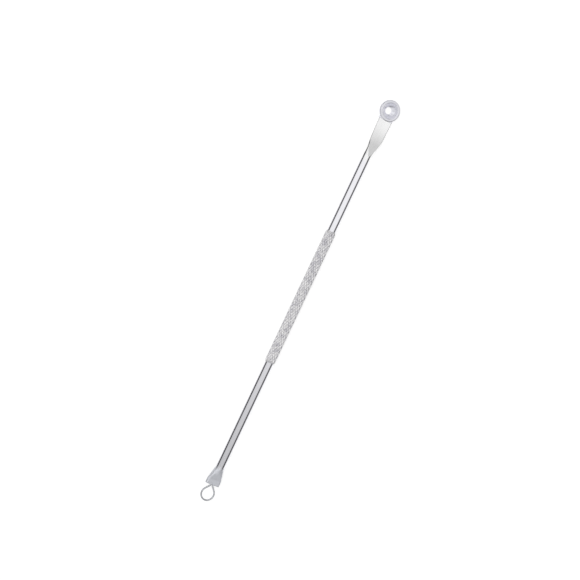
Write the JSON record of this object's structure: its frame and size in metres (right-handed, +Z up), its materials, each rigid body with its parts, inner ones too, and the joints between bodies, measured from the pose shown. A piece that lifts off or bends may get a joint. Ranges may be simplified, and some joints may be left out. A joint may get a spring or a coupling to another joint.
{
  "type": "comedone extractor",
  "caption": "Double-ended comedone extractor: knurled steel grip, pressed cup with a drain hole on a flat blade, and a wire loop crimped into the other end.",
  "frame": {"origin": "on the table, straight below the rod's axis at the middle of the tool's length", "axes": "+X along the rod towards the cup, +Z up from the table, the cup's mouth leaning up and over towards -Y"},
  "size_m": [0.12, 0.0057, 0.0033],
  "materials": {
    "rod_steel": "satin stainless steel, bright on the pressed blade",
    "wire_steel": "drawn stainless spring wire"
  },
  "bodies": {
    "root": {"handle": "rod_steel", "wire_loop": "wire_steel"}
  },
  "joints": []
}
